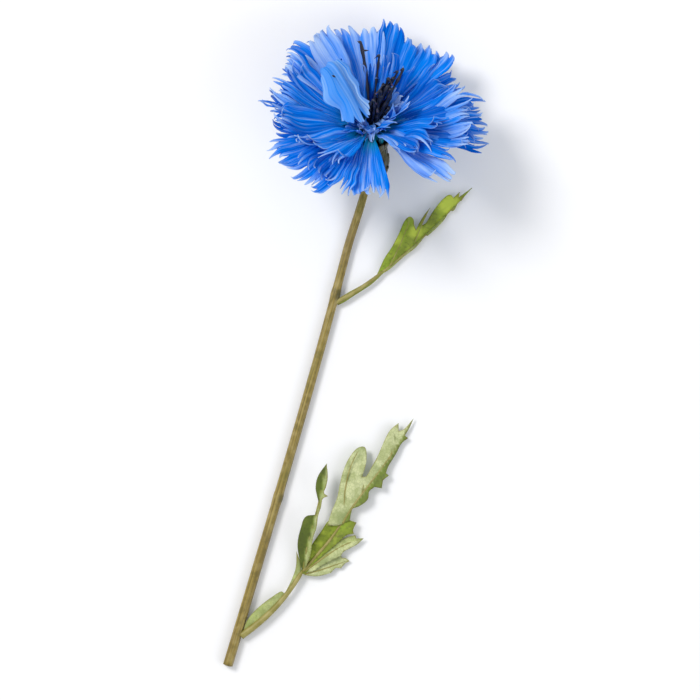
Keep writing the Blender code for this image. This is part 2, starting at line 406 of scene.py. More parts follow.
def petal_material(name, body, fold, tip, throat):
    """Silky petal: streaked along its length, with painted shade in its folds and painted highlights on its
    ridges, and paler at its tips.
    """
    material, tree = new_material(name, {
        "Roughness": 0.6, "Specular IOR Level": 0.015,
        "Sheen Weight": 0.012, "Sheen Roughness": 0.4, "Sheen Tint": (0.5, 0.75, 1, 1),
    })
    along, crease, tone, point = (attribute(tree, n) for n in ("along", "crease", "tone", "point"))
    broad = streaks(tree, (0.8, 0.35, 1), 2)
    middling = streaks(tree, (2.4, 0.4, 1), 3)
    fine = streaks(tree, (7, 0.7, 1), 3)
    light = tuple(blend(a, b, 0.5) for a, b in zip(body, tip))
    # The pleats: painted shade in their valleys and painted highlights on their ridges, drawn with the
    # streaks
    ridge = scaled_sum(tree, middling, 2.4, scaled_sum(tree, fine, 2.0, -2.2))
    ridge = scaled_sum(tree, crease, 0.3, ridge)
    # Painted light and shade over each floret and tooth, from its tone, with slow random patches
    shade = scaled_sum(tree, broad, 2.0, scaled_sum(tree, tone, 1.0, -1.0))
    uneven = scaled_sum(tree, broad, 0.2, scaled_sum(tree, middling, 0.16, along))
    # Paler tips, partly painted light shining through them, and paler where painted light falls on ridges
    # and florets
    pale = scaled_sum(tree, shade, 0.3, scaled_sum(tree, ridge, 0.4, point))
    colour = tint(
        tree, body,
        (ridge, 0.15, -0.75, fold, 1), (ridge, 0.1, 1.0, light, 0.85),
        (shade, 0.1, -1.3, fold, 0.7), (shade, 0.1, 1.7, light, 0.65),
        (uneven, 0.56, 0.26, throat, 1), (pale, 0.05, 1.25, tip, 0.95),
    )
    set_surface(tree, colour, streaks(tree, (9, 0.8, 1), 4), 0.6, 0.16 * MM, 0.22)
    return material


def anther_material(name, body):
    """Dark, slightly shiny, bluer at its foot and dusted with a little pollen at its tip."""
    material, tree = new_material(name, {"Roughness": 0.42})
    along, grain = attribute(tree, "along"), speckle(tree, 2600)
    colour = tint(
        tree, body,
        (grain, 0.55, 0.75, ANTHER_SHEEN, 0.5), (along, 0.2, 0.05, ANTHER_FOOT, 1),
        (along, 0.94, 0.98, POLLEN, 0.8),
    )
    set_surface(tree, colour, grain, 0.6, 0.1 * MM)
    return material


def cup_material(name, body):
    """Olive scales, with painted shade where they tuck under one another, and brown along their margins."""
    material, tree = new_material(name, {
        "Roughness": 0.36, "Specular IOR Level": 0.25, "Coat Weight": 0.05, "Coat Roughness": 0.25,
    })
    colour = tint(
        tree, SCALE_SHADE,
        (speckle(tree, 900), 0.35, 0.7, body, 1), (attribute(tree, "along"), 0.6, 0.2, SCALE_FOOT_SHADE, 0.85),
        (attribute(tree, "point"), 0.45, 0.85, SCALE_MARGIN, 0.85),
    )
    set_surface(tree, colour, speckle(tree, 2200), 0.3, 0.08 * MM)
    return material


def stem_material(name, rib, groove):
    """Stem skin: tan and olive lengthwise fibres over low ribs, with painted shade in its grooves and at
    its knots.
    """
    material, tree = new_material(name, {"Roughness": 0.4, "Specular IOR Level": 0.25})
    crease, knot = attribute(tree, "crease"), attribute(tree, "point")
    patches, mottle, grain = speckle(tree, 60, 2), speckle(tree, 520, 4), speckle(tree, 1300, 4)
    place = add_node(tree, "ShaderNodeTexCoord", {}, "Object")
    lengthwise = add_node(
        tree, "ShaderNodeMapping", {"Vector": place, "Rotation": (0, 0, -STEM_LEAN), "Scale": FIBRE_SIZE},
        vector_type="TEXTURE",
    )
    fibre = add_node(tree, "ShaderNodeTexNoise", {"Vector": lengthwise, "Scale": 1.0, "Detail": 3.0})
    # Painted shade in the grooves between the ribs and on one side of each knot
    colour = tint(
        tree, mix(tree, rescale(tree, crease, -0.9, 0.9, 0.15, 0.85), groove, rib),
        (fibre, 0.45, 0.72, FIBRE_PALE, 0.5), (fibre, 0.5, 0.32, FIBRE_DARK, 0.5),
        (mottle, 0.5, 0.66, MOTTLE_PALE, 0.35), (mottle, 0.48, 0.36, MOTTLE_DARK, 0.5),
        (patches, 0.46, 0.62, STEM_BROWN, 0.6), (patches, 0.46, 0.34, STEM_OLIVE, 0.4),
        (knot, 0.1, 0.9, KNOT_SHADE, 0.8),
    )
    set_surface(tree, colour, scaled_sum(tree, fibre, 1.5, grain), 0.4, 0.08 * MM)
    return material


def pith_material(name):
    """The cut end: a pale spongy middle."""
    material, tree = new_material(name, {"Roughness": 0.8})
    grain = speckle(tree, 3000, 4)
    set_surface(tree, mix(tree, grain, PITH_DARK, PITH_PALE), grain, 0.6, 0.1 * MM)
    return material


def leaf_material(name, settings, reverse):
    """Leaf skin: olive face or pale veined underside, mottled, painted highlights and shade, browner edge.
    """
    material, tree = new_material(name, {"Roughness": 0.6, "Specular IOR Level": 0.25})
    edge, shade, vein_line, pale, fresh = (
        attribute(tree, n) for n in ("point", "tone", "crease", "pale", "fresh")
    )
    if reverse:
        pale = scaled_sum(tree, pale, -1.0, 1.0)
    patches, spots, grain = speckle(tree, 170), speckle(tree, 420, 2), speckle(tree, 1500, 4)
    place = add_node(tree, "ShaderNodeTexCoord", {}, "Object")
    net = add_node(
        tree, "ShaderNodeTexVoronoi", {"Vector": place, "Scale": 1300.0}, feature="DISTANCE_TO_EDGE"
    )
    face = tint(
        tree, settings.leaf_colour,
        (patches, 0.38, 0.64, LEAF_LIGHT, 1), (spots, 0.5, 0.75, LEAF_SPOT, 0.5),
        (grain, 0.5, 0.68, LEAF_GRAIN, 0.5), (vein_line, 0.4, 1.0, LEAF_VEIN, 0.45),
    )
    under = tint(
        tree, settings.underside_colour,
        (spots, 0.36, 0.66, UNDER_PALE, 1), (patches, 0.48, 0.66, UNDER_DARK, 0.7),
        (net, 0.14, 0.02, UNDER_NET, 0.3), (vein_line, 0.4, 1.0, UNDER_VEIN, 0.7),
    )
    # Painted highlight patches, with a little more from the random spots
    fresh = scaled_sum(tree, spots, 0.9, fresh)
    brown = scaled_sum(tree, grain, 0.7, edge)
    colour = tint(
        tree, face,
        (pale, 0, 1, under, 1), (fresh, 0.45, 1.4, LEAF_PAINTED_HIGHLIGHT, 0.8),
        (brown, 0.95, 1.4, LEAF_BROWN, 0.6), (shade, 0, 1, LEAF_SHADE, 1),
    )
    height = scaled_sum(tree, vein_line, -0.8, scaled_sum(tree, spots, 1.2, grain))
    set_surface(tree, colour, height, 0.6, 0.16 * MM, 0.2)
    return material


def vein_material(name, body):
    """Main vein and leaf stalk."""
    material, tree = new_material(name, {"Roughness": 0.48})
    colour = tint(tree, body, (speckle(tree, 500), 0.35, 0.7, STALK_PALE, 1))
    set_surface(tree, colour, speckle(tree, 1800), 0.3, 0.06 * MM)
    return material


def floor_material(name, body):
    """Plain matt floor, very slightly mottled."""
    material, tree = new_material(name, {"Roughness": 0.9})
    darker = tuple(0.97 * part for part in body)
    colour = mix(tree, speckle(tree, 6), body, darker)
    tree.links.new(colour, tree.nodes["Principled BSDF"].inputs["Base Color"])
    return material


# Shared making


def add_object(name, data):
    """Puts an object with its data in the scene."""
    made = bpy.data.objects.new(name, data)
    bpy.context.scene.collection.objects.link(made)
    return made


def finish_piece(bm, name, materials, node, thickness=0):
    """Turns a mesh under construction into a piece that stands for one solid of the frame."""
    for face in bm.faces:
        face.smooth = True
    mesh = bpy.data.meshes.new(name)
    bm.to_mesh(mesh)
    bm.free()
    for material in materials:
        mesh.materials.append(material)
    piece = add_object(name, mesh)
    if thickness:
        wall = piece.modifiers.new("Thickness", "SOLIDIFY")
        wall.thickness = thickness
        wall.offset = 0
        wall.material_offset = 1
    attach(piece, "root")
    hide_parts(node)


def float_layers(bm, names):
    """New layers that give each point of a mesh one number apiece."""
    return [bm.verts.layers.float.new(name) for name in names]


def bloom_matrix():
    """From the bloom's own axes to the ground's. Its +Z runs out of the mouth of the cup."""
    turn = Euler((BLOOM_PITCH - math.pi / 2, 0, -BLOOM_LEAN)).to_matrix().to_4x4()
    return Matrix.Translation(ROOT_SHIFT + Vector((0, 0, MOUTH_HEIGHT))) @ turn


def rest_on_ground(bm, layer):
    """Bends what would go below the ground so that it lies on it, layer above layer."""
    floor = GROUND_REST * (1 + layer)
    for vert in bm.verts:
        above = (vert.co.z - floor) / GROUND_EASE
        if above < 6:
            vert.co.z = floor + GROUND_EASE * math.log1p(math.exp(max(above, -30)))


def path_frame(points, share, upward=UP):
    """Point, sideways and upward directions on a line of points, at a share of it."""
    last = len(points) - 1
    place = min(max(share, 0), 1) * last
    k = min(int(place), last - 1)
    point = points[k].lerp(points[k + 1], place - k)
    ahead = (points[min(k + 2, last)] - points[max(k - 1, 0)]).normalized()
    side = ahead.cross(upward).normalized()
    return point, side, side.cross(ahead)


def add_tube(bm, points, radius_at, sides, rings, upward=UP):
    """A closed tube along points, whose radius is given by share of its length and angle."""
    tube = bmesh.new()
    along_layer, = float_layers(tube, ("along",))
    bmesh.ops.create_cone(tube, cap_ends=True, segments=sides, radius1=1, radius2=1, depth=1)
    long_edges = [edge for edge in tube.edges if abs(edge.verts[0].co.z - edge.verts[1].co.z) > 0.5]
    bmesh.ops.subdivide_edges(tube, edges=long_edges, cuts=rings - 1, use_grid_fill=True)
    for vert in tube.verts:
        share = vert.co.z + 0.5
        angle = math.atan2(vert.co.y, vert.co.x)
        point, side, above = path_frame(points, share, upward)
        vert.co = point + (side * math.cos(angle) + above * math.sin(angle)) * radius_at(share, angle)
        vert[along_layer] = share
    join(bm, tube)


def join(bm, part):
    """Adds a part to a mesh under construction."""
    mesh = bpy.data.meshes.new("part")
    part.to_mesh(mesh)
    part.free()
    bm.from_mesh(mesh)
    bpy.data.meshes.remove(mesh)


# Petals


def share_at(row):
    """How far along a petal a row lies."""
    return 1 - (1 - min(row / PETAL_ROWS, 1)) ** ROW_CROWDING


def row_at(share):
    """The row at a share of a petal, short of its very end."""
    return PETAL_ROWS * (1 - (1 - min(share, 0.98)) ** (1 / ROW_CROWDING))


def row_of(vert):
    """The row of a point on the flat grid that a petal is made from."""
    return (vert.co.x + 0.5) * PETAL_ROWS


def past(row, start):
    """How far a row lies past a starting row, from 0 there to 1 at the tips."""
    return max(0, row - start) / (PETAL_ROWS - start)


def cut_fringe(rng, count, cut, pleat):
    """The teeth of one floret in order across it, each with the flap that it belongs to."""
    sizes = []
    while sum(sizes) < count:
        sizes.append(min(rng.choice((2, 3, 3, 4)), count - sum(sizes)))
    folds = [rng.uniform(-0.7, 0.4) * pleat for _ in range(count + 1)]
    teeth = []
    gap_row = round(row_at(0.8))
    for size in sizes:
        first = len(teeth)
        next_row = round(row_at(rng.uniform(cut - 0.1, cut + 0.08)))
        flap = Flap(
            (first + size / 2) / count - 0.5, size / 2 / count, gap_row, next_row,
            reach=rng.uniform(0.75, 1.15), lean=rng.uniform(-0.25, 0.25),
            bend=rng.uniform(-0.4, 0.3), slim=rng.uniform(0.05, 0.2),
        )
        tooth_row = gap_row
        for k in range(first, first + size):
            side_row = round(row_at(cut + rng.uniform(0.04, 0.16))) if k + 1 < first + size else next_row
            tooth = Tooth(
                flap, (k + 0.5) / count - 0.5, tooth_row, side_row,
                reach=rng.uniform(0.35, 1.2), lean=rng.uniform(-0.3, 0.3),
                bend=rng.uniform(-0.3, 0.3), blunt=rng.uniform(0.0, 0.16),
                fold=rng.uniform(0.4, 1.5) * pleat, left_fold=folds[k], right_fold=folds[k + 1],
                tone=rng.uniform(-0.5, 0.5),
            )
            teeth.append(tooth)
            tooth_row = side_row
        gap_row = next_row
    return teeth


def fringed_grid(count, teeth):
    """A flat grid 1 long and 1 wide, split along the gaps between the teeth."""
    bm = bmesh.new()
    columns = count * TOOTH_COLUMNS
    bmesh.ops.create_grid(bm, x_segments=PETAL_ROWS, y_segments=columns, size=0.5)
    cuts = []
    for edge in bm.edges:
        column = (edge.verts[0].co.y + 0.5) * columns
        runs_along = abs(edge.verts[0].co.y - edge.verts[1].co.y) < 1e-4
        gap = round(column / TOOTH_COLUMNS)
        if runs_along and not edge.is_boundary and abs(column - gap * TOOTH_COLUMNS) < 0.1:
            if min(map(row_of, edge.verts)) > teeth[gap].left_start - 0.1:
                cuts.append(edge)
    bmesh.ops.split_edges(bm, edges=cuts)
    return bm


def map_fibres(bm, rng, count):
    """A UV map along the petal, shifted at random so that each petal has its own streaks."""
    fibres = bm.loops.layers.uv.new("fibres")
    shift = Vector((rng.uniform(0, 50), rng.uniform(0, 50)))
    for face in bm.faces:
        for loop in face.loops:
            place = loop.vert.co
            loop[fibres].uv = shift + Vector((place.y * count, share_at(row_of(loop.vert)) * 5))


def centre_line(length, rise, curl, tip_curl, curl_from, curl_over):
    """Outward travel, upward travel and slope along a floret that turns out of the cup and curls."""
    line = [(0.0, 0.0, math.pi / 2)]
    step = length / LINE_STEPS
    for i in range(LINE_STEPS):
        at = (i + 0.5) * step
        upright = (math.pi / 2 - rise) * (1 - smooth(at / TUBE_BEND))
        slope = rise + upright + curl * at + tip_curl * smooth((at / length - curl_from) / curl_over)
        out, up, _ = line[-1]
        line.append((out + math.cos(slope) * step, up + math.sin(slope) * step, slope))
    return line


def on_line(line, share):
    """Outward travel, upward travel and slope at a share of a centre line."""
    place = min(max(share, 0), 1) * LINE_STEPS
    k = min(int(place), LINE_STEPS - 1)
    return [blend(a, b, place - k) for a, b in zip(line[k], line[k + 1])]


def floret_form(rng, whorl, front, own):
    """The sizes and bends of one floret: its own where it has them, and near its ring's otherwise."""
    length = blend(whorl.length, whorl.front_length, front) * own.get("length", 1) * MM
    length += 0.8 * MM * rng.uniform(-1, 1)
    wrap = own.get("wrap", whorl.wrap * rng.uniform(0.5, 1.4))
    rise = own.get("rise", blend(whorl.rise, whorl.front_rise, front) + rng.uniform(-5, 5))
    tip_curl = own.get("tip_curl", rng.uniform(-20, 20))
    curl = math.radians(rng.uniform(-0.5, 0.6)) / MM
    line = centre_line(
        length, math.radians(rise), curl, math.radians(tip_curl),
        own.get("curl_from", 0.45), own.get("curl_over", 0.5),
    )
    seed = rng.uniform(0, 99)
    sway = own.get("sway", rng.uniform(-2, 2)) * MM
    # A tone given for this floret is painted light when above 0 and painted shade when below; others vary
    # at random
    tone = own.get("tone", rng.uniform(-0.9, 0.6))
    paleness = blend(0.45, 1, smooth((length - 6 * MM) / (12 * MM)))  # short florets have bluer tips
    width = whorl.width * own.get("width", 1 - 0.25 * front) * MM
    return Form(
        line, length, width, math.radians(wrap), math.radians(own["twist"]), sway, tone, paleness,
        own.get("round", 0), own.get("ripple", 0.05), seed,
    )


def free_row(part):
    """The row from which a flap or a tooth is free on both sides."""
    return max(part.left_start, part.right_start)


def beside_gap(part, row, place):
    """How far a row lies past the start of the gap on the nearer side of a flap or a tooth."""
    return past(row, part.left_start if place < 0 else part.right_start)


def free_length(part, row, length):
    """How much of a flap or a tooth leans and bends by a row, growing faster towards its tip."""
    free = free_row(part)
    into = past(row, free)
    return (1 - share_at(free)) * length * into * into


def reach_along(tooth, row, across, roundness):
    """How far along its floret a point lies, with rounded corners and longer or shorter flaps and teeth."""
    share = share_at(row)
    share *= 1 - roundness * (2 * across) ** 2 * share
    flap_free, tooth_free = free_row(tooth.flap), free_row(tooth)
    if row > flap_free:
        share += (share - share_at(flap_free)) * (tooth.flap.reach - 1)
    if row > tooth_free:
        share += (share_at(row) - share_at(tooth_free)) * (tooth.reach - 1)
    return share


def floret_width(form, share, across):
    """Width of a floret at a share of its length. It widens to its fringe, and its edge is ruffled."""
    flare = 1 + 0.12 * max(0, share - 0.75) / 0.25
    wide = blend(TUBE_GIRTH, form.width, smooth((share - 0.03) / 0.85)) * flare
    wide *= 1 - 1.6 * form.roundness * smooth((share - 0.62) / 0.38)
    ruffle = noise.noise(Vector((share * 9, math.copysign(3, across), form.seed)))
    return wide * (1 + form.ripple * ruffle * abs(2 * across) * smooth(share * 2))


def tapered(tooth, row, place, count, seed):
    """Where across its floret a point lies, and how far it is past its tooth's gap and past its flap's."""
    beside = beside_gap(tooth, row, place)
    ragged = 1 + 0.2 * noise.noise(Vector((row * 0.6, place * 2, seed))) * min(1, beside * 4)
    across = tooth.middle + place * blend(1, tooth.blunt, beside**1.3) * ragged / (2 * count)
    flap = tooth.flap
    flap_place = (across - flap.middle) / flap.half
    flap_beside = beside_gap(flap, row, flap_place)
    across = flap.middle + flap_place * flap.half * (1 - flap.slim * smooth(flap_beside * 1.6))
    return across, beside, flap_beside


def rolled(form, tooth, row, share, across):
    """Sideways and upward travel of a point on a rolled floret, whose flaps and teeth lean and bend."""
    flap = tooth.flap
    wide = floret_width(form, share, across)
    wrap = blend(TUBE_WRAP, form.wrap, smooth(share / 0.32))
    flap_length = free_length(flap, row, form.length)
    tooth_length = free_length(tooth, row, form.length)
    side = wide / wrap * math.sin(across * wrap)
    side += flap.lean * flap_length + tooth.lean * tooth_length + form.sway * share * share
    lift = wide / wrap * (1 - math.cos(across * wrap))
    lift += flap.bend * flap_length + tooth.bend * tooth_length
    return side, lift


def crease_at(tooth, place, ridge_place, pleat):
    """Height of the pleats at a place across a tooth: a fold down its middle, and finer ridges."""
    fold = tooth.fold * (1 - abs(place)) + blend(tooth.left_fold, tooth.right_fold, (place + 1) / 2)
    return fold + 0.6 * pleat * (1 - 2.6 * abs(noise.noise(Vector(ridge_place))))


def floret_sheet(rng, whorl, settings, front, own):
    """One fringed floret, rolled into a tube at its foot. X is outwards and Z is the bloom's axis."""
    count = own.get("teeth", whorl.teeth)
    pleat = whorl.pleat * own.get("pleat", 1) * MM
    teeth = cut_fringe(rng, count, own.get("cut", whorl.cut), pleat)
    bm = fringed_grid(count, teeth)
    along_layer, crease_layer, point_layer, tone_and_shading_layer = float_layers(
        bm, ("along", "crease", "point", "tone")
    )
    map_fibres(bm, rng, count)
    form = floret_form(rng, whorl, front, own)
    seed = form.seed
    tooth_of = {
        vert: teeth[int((vert.link_faces[0].calc_center_median().y + 0.5) * count)] for vert in bm.verts
    }
    for vert, tooth in tooth_of.items():
        row = row_of(vert)
        place = (vert.co.y - tooth.middle) * 2 * count
        across, beside, flap_beside = tapered(tooth, row, place, count, seed)
        share = reach_along(tooth, row, across, form.roundness)
        side, lift = rolled(form, tooth, row, share, across)

        # Pleat it and let it wave
        opened = smooth((share - 0.1) / 0.4)
        crease = crease_at(tooth, place, (across * count * 1.3 + seed, share * 1.1, seed), pleat)
        lift += crease * opened * (1 - 0.5 * beside)
        slow = noise.noise(Vector((share * 2.4 + seed, across * 3.2, seed)))
        lift += settings.wave * 2 * slow * opened

        # Twist it and lay it along its centre line
        turn = form.twist * smooth(share * 1.5)
        side, lift = (
            side * math.cos(turn) - lift * math.sin(turn),
            side * math.sin(turn) + lift * math.cos(turn),
        )
        out, up, slope = on_line(form.line, share)
        vert.co = (whorl.root * MM + out - lift * math.sin(slope), side, up + lift * math.cos(slope))
        vert[along_layer] = share
        vert[crease_layer] = crease / (whorl.pleat * MM) * opened
        towards_tip = max(0.8 * beside, 0.5 * flap_beside) + 0.12 * abs(place) * min(1, beside * 4)
        vert[point_layer] = towards_tip * form.paleness
        vert[tone_and_shading_layer] = form.tone + tooth.tone
    return bm


def add_florets(whorls, settings):
    """Some rings of florets. Each floret's number in its ring sets its chances."""
    ends = (settings.tip_colour, settings.throat_colour)
    materials = (
        petal_material("petal_face", settings.petal_colour, settings.fold_shade_colour, *ends),
        petal_material("petal_back", settings.back_colour, settings.petal_colour, *ends),
    )
    for number, whorl in whorls:
        for i in range(whorl.count):
            rng = random.Random(100 * number + i)
            label = f"{whorl.label}_{i + 1}"
            own = dict(OWN_WAYS.get(label, {}))
            degrees = whorl.turn + 360 / whorl.count * i + rng.uniform(-5, 5) + own.get("turn", 0)
            turn = math.radians(degrees)
            own.setdefault("twist", rng.uniform(-14, 14) + 16 * math.sin(turn))
            front = (1 + math.cos(turn)) / 2
            bm = floret_sheet(rng, whorl, settings, front, own)
            bm.transform(bloom_matrix() @ Matrix.Rotation(turn - math.pi / 2, 4, "Z"))
            rest_on_ground(bm, number)
            finish_piece(
                bm, f"petal_{label}", materials, f"floret_{label}", settings.petal_thickness
            )


class CORNFLOWER_OT_ray_petals(bpy.types.Operator):
    """Adds the three outer rings of wide fringed petals"""

    bl_idname = "cornflower.ray_petals"
    bl_label = "Ray Petals"

    def execute(self, context):
        add_florets(list(enumerate(WHORLS))[:3], context.scene.cornflower_bloom)
        return {"FINISHED"}


class CORNFLOWER_OT_inner_petals(bpy.types.Operator):
    """Adds the narrow curled petals round the middle"""

    bl_idname = "cornflower.inner_petals"
    bl_label = "Inner Petals"

    def execute(self, context):
        add_florets(list(enumerate(WHORLS))[3:], context.scene.cornflower_bloom)
        return {"FINISHED"}


# Anthers


def add_strand(bm, rng, foot, tip):
    """One thin strand that thickens into a dark head and hooks over at its tip."""
    hook = Vector((rng.uniform(-1, 1), rng.uniform(-1, 1), rng.uniform(-0.9, 0.3))) * 1.3 * MM
    sway = Vector((rng.uniform(-1, 1), rng.uniform(-1, 1), 0)) * MM
    lie = max(0, -tip.x / MM - 5)  # a strand that ends far to the left starts out low
    sway += Vector((0, 0.4, -0.8)) * lie * MM
    upward = Vector((0, 0, 0.5 * tip.z if lie == 0 else MM))
    line = interpolate_bezier(foot, foot + upward, tip.lerp(foot, 0.3) + sway, tip, 30)
    ahead = (line[-1] - line[-2]).normalized() * MM
    line += interpolate_bezier(tip, tip + ahead, tip + hook * 0.6, tip + hook, 8)[1:]
    thin, thick = rng.uniform(0.15, 0.2), rng.uniform(0.3, 0.44)
    phase = rng.uniform(0, 6)

    def radius_at(share, _angle):
        swell = blend(thin, thick, smooth((share - 0.2) / 0.25))
        taper = blend(1, 0.3, smooth((share - 0.84) / 0.16))
        return swell * taper * MM * (1 + 0.22 * math.sin(37 * share + phase))

    aside = Vector((0.31, 0.95, 0.02))  # no strand runs this way
    add_tube(bm, line, radius_at, 8, 36, aside)


def add_anther(i, tip, strands, spread, material):
    """A bundle of strands that rise together and part at their tips."""
    rng = random.Random(700 + i)
    bm = bmesh.new()
    float_layers(bm, ("along",))
    angle = math.radians(25 + 60 * i)
    foot = Vector((math.cos(angle), math.sin(angle), 0)) * (0.72 * MM if i else 0)
    for k in range(strands):
        around = 2 * math.pi * k / strands + i
        apart = Vector((math.cos(around), math.sin(around), 0)) * MM if strands > 1 else Vector()
        reach = rng.uniform(0.5 if strands > 3 else 0.85, 1.05)
        own_tip = Vector(tip) * MM * reach + apart * spread * rng.uniform(0.6, 1.2)
        add_strand(bm, rng, foot + apart * 0.2, own_tip)
    bm.transform(bloom_matrix())
    finish_piece(bm, f"anther_strand_{i + 1}", (material,), f"anther_{i + 1}")


class CORNFLOWER_OT_anthers(bpy.types.Operator):
    """Adds the dark curled anthers"""

    bl_idname = "cornflower.anthers"
    bl_label = "Anthers"

    def execute(self, context):
        material = anther_material("anther_dark", context.scene.cornflower_bloom.anther_colour)
        for i, (tip, strands, spread) in enumerate(ANTHERS):
            add_anther(i, tip, strands, spread, material)
        return {"FINISHED"}


# Cup

# Radius and depth below the mouth, in millimetres
CUP_PROFILE = (
    (0.0, 0.9), (3.2, 0.6), (3.9, 0.3), (4.1, 0.8), (3.7, 2.0), (3.4, 3.6), (3.7, 5.6),
    (4.2, 7.6), (4.4, 9.6), (4.0, 11.4), (3.0, 12.9), (1.8, 13.7), (1.1, 14.0), (0.0, 14.0),
)
# Rings of scales: how many, then in millimetres the depth of their middle, their width, their height and
# how far their tips lean out
SCALE_RINGS = (
    (9, 12.4, 2.9, 3.0, 0.35),
    (10, 10.6, 3.6, 3.9, 0.5),
    (10, 8.5, 3.8, 4.5, 0.65),
    (10, 6.4, 3.6, 4.6, 0.75),
    (10, 4.4, 3.1, 4.6, 0.7),
    (11, 2.6, 2.8, 4.3, 0.7),
    (13, 1.0, 2.2, 3.6, 0.7),
)


def cup_radius(depth):
    """Radius of the cup's side at a depth, both in millimetres."""
    return between([(low, radius) for radius, low in CUP_PROFILE[3:-1]], depth)


def add_scale(bm, angle, depth, width, height, lean, layers):
    """One flat, pointed scale whose tip leans out over the foot of the scale above it."""
    share_layer, margin_layer = layers
    before = set(bm.verts)
    bmesh.ops.create_uvsphere(bm, u_segments=16, v_segments=12, radius=0.5)
    made = [vert for vert in bm.verts if vert not in before]
    span = 0.8  # how far above and below its middle the cup's slope is taken
    slope = math.atan2(cup_radius(depth - span) - cup_radius(depth + span), 2 * span)
    centre = Vector((cup_radius(depth), 0, -depth))
    for vert in made:
        up, across, out = vert.co.z * 2, vert.co.y, vert.co.x
        upper = max(0, up)
        share = (up + 1) / 2
        thickness = 0.7 - 0.35 * upper
        keel = 0.12 * max(0, 1 - abs(across) * 6) * smooth(out * 5)
        hollow = (across * width) ** 2 / 9
        taper = 1 - 0.6 * upper**1.5
        local = Vector((
            out * thickness + keel + lean * share - 0.1 - hollow,
            across * width * taper,
            up * height / 2 * (1.2 if up > 0 else 0.9),
        ))
        local.rotate(Euler((0, slope, 0)))
        vert.co = (centre + local) * MM
        vert[share_layer] = share
        vert[margin_layer] = (1 - 4 * out * out) ** 2 * smooth(2 * share - 0.4)
    bmesh.ops.rotate(bm, verts=made, cent=(0, 0, 0), matrix=Matrix.Rotation(angle, 3, "Z"))


def add_cup(settings):
    """The turned cup with its rings of scales."""
    bm = bmesh.new()
    layers = float_layers(bm, ("along", "point"))
    ring = [bm.verts.new((radius * MM, 0, -depth * MM)) for radius, depth in CUP_PROFILE]
    edges = [bm.edges.new(pair) for pair in zip(ring, ring[1:])]
    bmesh.ops.spin(
        bm, geom=ring + edges, cent=(0, 0, 0), axis=UP, angle=2 * math.pi, steps=40, use_merge=True
    )
    bmesh.ops.remove_doubles(bm, verts=bm.verts, dist=0.001 * MM)
    bmesh.ops.recalc_face_normals(bm, faces=bm.faces)
    for row, (count, *sizes) in enumerate(SCALE_RINGS):
        for i in range(count):
            angle = 2 * math.pi * (i + 0.5 * (row % 2)) / count
            add_scale(bm, angle, *sizes, layers)
    bm.transform(bloom_matrix())
    material = cup_material("cup_scales", settings.cup_colour)
    finish_piece(bm, "involucre_scales", (material,), "involucre")


class CORNFLOWER_OT_cup(bpy.types.Operator):
    """Adds the scaly cup below the bloom"""

    bl_idname = "cornflower.cup"
    bl_label = "Cup"

    def execute(self, context):
        add_cup(context.scene.cornflower_green)
        return {"FINISHED"}


# Stem

# Swellings of the stem: share of its length, spread as a share, and height in millimetres
STEM_KNOTS = ((0.31, 0.009, 0.2), (0.679, 0.011, 0.28))


def stem_line():
    """Points from the cut end to the underside of the cup."""
    axis = bloom_matrix().to_3x3() @ UP
    top = Vector((0, 0, MOUTH_HEIGHT)) - axis * (CUP_DEPTH - 0.3 * MM)
    low_way, knee_way = Vector((0.287, 0.958, 0)), Vector((0.25, 0.968, 0))
    low = interpolate_bezier(
        STEM_BASE, STEM_BASE + low_way * 33 * MM, STEM_KNEE - knee_way * 33 * MM, STEM_KNEE, 90
    )
    high = interpolate_bezier(STEM_KNEE, STEM_KNEE + knee_way * 7 * MM, top - axis * 7 * MM, top, 30)
    return [point + ROOT_SHIFT for point in low + high[1:]]


def add_stem(settings):
    """The ribbed stem, with a hollow of pith in its cut end."""
    bm = bmesh.new()
    along_layer, crease_layer, knot_layer = float_layers(bm, ("along", "crease", "point"))

    def rib_at(share, angle):
        """From -1 in a groove to 1 on a rib."""
        return math.cos(STEM_RIBS * angle + 3 * share)

    def knot_at(share):
        """Height of the swellings, in millimetres."""
        return sum(height * math.exp(-(((share - at) / spread) ** 2)) for at, spread, height in STEM_KNOTS)

    def radius_at(share, angle):
        plain = blend(STEM_BASE_RADIUS, STEM_TOP_RADIUS, share)
        flare = 0.35 * MM * smooth((share - 0.965) / 0.035)
        knot = knot_at(share) * MM * (0.7 + 0.3 * math.cos(angle - 1))
        return plain + settings.groove_depth * rib_at(share, angle) + flare + knot

    points = stem_line()
    add_tube(bm, points, radius_at, 56, 150)
    for vert in bm.verts:
        share = vert[along_layer]
        point, side, above = path_frame(points, share)
        away = vert.co - point
        angle = math.atan2(away.dot(above), away.dot(side))
        vert[knot_layer] = min(1, 4 * knot_at(share)) * (0.5 + 0.5 * math.cos(angle))
        vert[crease_layer] = rib_at(share, angle)
    ends = [face for face in bm.faces if len(face.verts) > 4]
    cut = min(ends, key=lambda face: face.calc_center_median().y)
    bmesh.ops.inset_region(bm, faces=[cut], thickness=0.25 * MM, depth=0)
    bmesh.ops.inset_region(bm, faces=[cut], thickness=0.2 * MM, depth=-0.15 * MM)
    cut.material_index = 1
    skin = stem_material("stem_skin", settings.stem_colour, settings.stem_groove_shade)
    finish_piece(bm, "stem_skin", (skin, pith_material("stem_pith")), "stem")


class CORNFLOWER_OT_stem(bpy.types.Operator):
    """Adds the ribbed stem with its knots and cut end"""

    bl_idname = "cornflower.stem"
    bl_label = "Stem"

    def execute(self, context):
        add_stem(context.scene.cornflower_green)
        return {"FINISHED"}


# Leaves

# A sheet of a leaf, in millimetres from the ground below the middle of the cup's mouth. Its outline runs
# round it, with a third value of 1 at each sharp corner. A vein has its radius at either end and the four
# control points of its curve, and the main vein comes first. Each half has a tilt in degrees, and shares of
# pale underside showing on top and of painted shade. A painted highlight, a bright yellow-green patch, has
# its middle and its reach.
Sheet = namedtuple("Sheet", "outline veins left right fresh", defaults=[()])
Vein = namedtuple("Vein", "start end foot leaving arriving tip")
Half = namedtuple("Half", "tilt pale shade")

